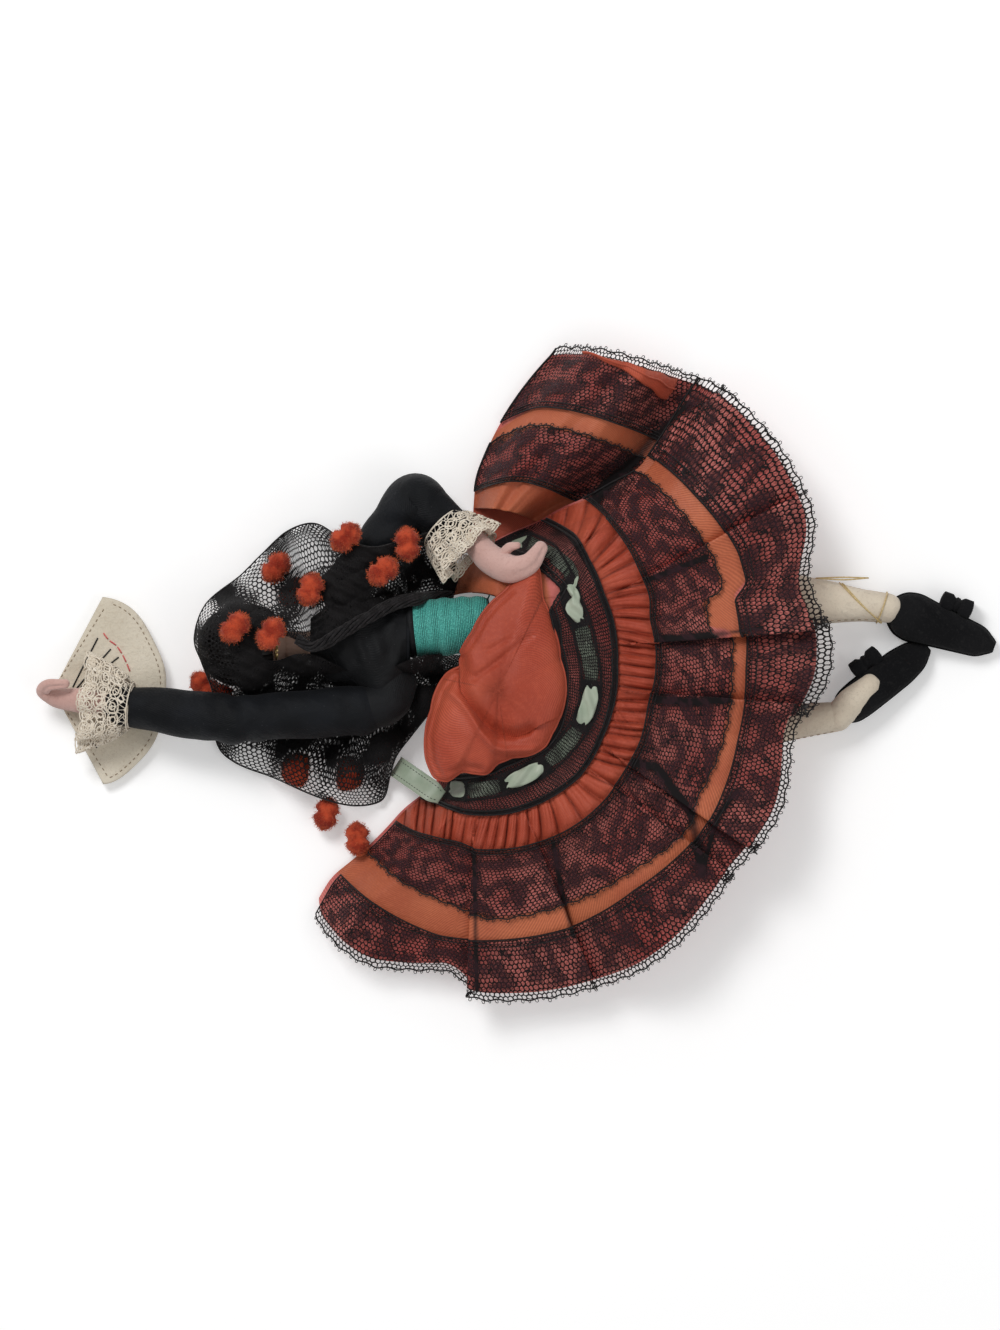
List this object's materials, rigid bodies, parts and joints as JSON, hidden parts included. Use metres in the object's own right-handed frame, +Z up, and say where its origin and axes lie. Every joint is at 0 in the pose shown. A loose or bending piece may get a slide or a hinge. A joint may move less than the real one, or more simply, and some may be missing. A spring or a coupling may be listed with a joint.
{
  "type": "jointed cloth dancer doll",
  "caption": "Felt dancer doll lying on its front, with wired limbs, felt fan, net mantilla with pompoms and a tiered lace skirt.",
  "frame": {"origin": "on the ground, under the middle of the doll's outline", "axes": "+X from the head towards the feet, +Y towards the doll's right side, +Z up from the ground"},
  "size_m": [0.3071, 0.2079, 0.0402],
  "materials": {
    "skin": "flesh felt",
    "felt": "cream felt",
    "hand_felt": "flesh felt",
    "black_satin": "satin",
    "black_felt": "felt",
    "black_net": "fine hexagonal net",
    "black_hair": "brushed fibre",
    "rust_satin": "satin",
    "black_lace": "machine lace",
    "teal_thread": "wound thread",
    "mint_satin": "satin ribbon",
    "cream_lace": "crochet lace",
    "chenille": "chenille pile",
    "gold": "bright",
    "steel": "plain wire",
    "stuffing": "stuffed cloth"
  },
  "bodies": {
    "torso": {"torso": "stuffing", "bolero_jacket": "black_satin", "neck": "skin", "waist_core": "stuffing", "sash_winding": "teal_thread", "hips": "stuffing", "sleeve_right_upper": "black_satin", "sleeve_right_lower": "black_satin", "arm_wire_right": "steel", "cuff_right": "cream_lace", "hand_right": "hand_felt", "skirt_front_panel": "rust_satin", "skirt_back_panel": "rust_satin", "skirt_lifted_side": "rust_satin", "lace_band": "black_lace", "band_ribbon": "mint_satin", "ribbon_end": "mint_satin", "gathered_ruffle": "rust_satin", "lace_flounce_inner": "black_lace", "lace_flounce_outer": "black_lace", "lifted_lace_inner": "black_lace", "lifted_lace_outer": "black_lace", "overskirt_puff": "rust_satin", "mantilla": "black_net", "pompom_01": "chenille", "pompom_02": "chenille", "pompom_03": "chenille", "pompom_04": "chenille", "pompom_05": "chenille", "pompom_06": "chenille", "pompom_07": "chenille", "pompom_08": "chenille", "pompom_09": "chenille", "pompom_10": "chenille", "pompom_11": "chenille", "pompom_12": "chenille", "pompom_13": "chenille", "pompom_14": "chenille"},
    "head": {"head": "skin", "hair": "black_hair", "hair_knot": "black_hair", "earring": "gold"},
    "arm_left_upper": {"sleeve_left_upper": "black_satin", "arm_wire_left": "steel"},
    "arm_left_lower": {"sleeve_left_lower": "black_satin", "cuff_left": "cream_lace"},
    "hand_left": {"hand_left": "hand_felt", "fan": "felt"},
    "thigh_right": {"thigh_right": "felt", "leg_wire_right": "steel"},
    "shin_right": {"shin_right": "felt", "ankle_twine": "gold"},
    "foot_right": {"shoe_right": "black_felt", "bow_right": "black_felt"},
    "thigh_left": {"thigh_left": "felt", "leg_wire_left": "steel"},
    "shin_left": {"shin_left": "felt"},
    "foot_left": {"shoe_left": "black_felt", "bow_left": "black_felt"}
  },
  "joints": [
    {"name": "neck_turn", "type": "hinge", "parent": "torso", "child": "head", "pos_m": [-0.0745, 0.009, 0.0132], "axis": [1, 0, 0], "range_deg": [-15, 15]},
    {"name": "shoulder_left", "type": "hinge", "parent": "torso", "child": "arm_left_upper", "pos_m": [-0.05, -0.0115, 0.0195], "axis": [0, 0, 1], "range_deg": [0, 25], "deforming": ["arm_wire_left"]},
    {"name": "elbow_left", "type": "hinge", "parent": "arm_left_upper", "child": "arm_left_lower", "pos_m": [-0.0915, -0.0145, 0.0195], "axis": [0, 0, 1], "range_deg": [-15, 25]},
    {"name": "wrist_left", "type": "hinge", "parent": "arm_left_lower", "child": "hand_left", "pos_m": [-0.129, -0.0098, 0.0145], "axis": [0, 0, 1], "range_deg": [-8, 8]},
    {"name": "hip_right", "type": "hinge", "parent": "torso", "child": "thigh_right", "pos_m": [0.008, 0.0215, 0.014], "axis": [0, 0, 1], "range_deg": [0, 8], "deforming": ["leg_wire_right"]},
    {"name": "knee_right", "type": "hinge", "parent": "thigh_right", "child": "shin_right", "pos_m": [0.055, 0.0267, 0.012], "axis": [0, 0, 1], "range_deg": [0, 10]},
    {"name": "ankle_right", "type": "hinge", "parent": "shin_right", "child": "foot_right", "pos_m": [0.118, 0.0212, 0.0098], "axis": [0, 0, 1], "range_deg": [0, 12]},
    {"name": "hip_left", "type": "hinge", "parent": "torso", "child": "thigh_left", "pos_m": [0.008, 0.0055, 0.014], "axis": [0, 0, 1], "range_deg": [-6, 0], "deforming": ["leg_wire_left"]},
    {"name": "knee_left", "type": "hinge", "parent": "thigh_left", "child": "shin_left", "pos_m": [0.051, -0.02, 0.011], "axis": [0, 0, 1], "range_deg": [-10, 0]},
    {"name": "ankle_left", "type": "hinge", "parent": "shin_left", "child": "foot_left", "pos_m": [0.102, -0.0136, 0.009], "axis": [0, 0, 1], "range_deg": [-12, 0]}
  ]
}
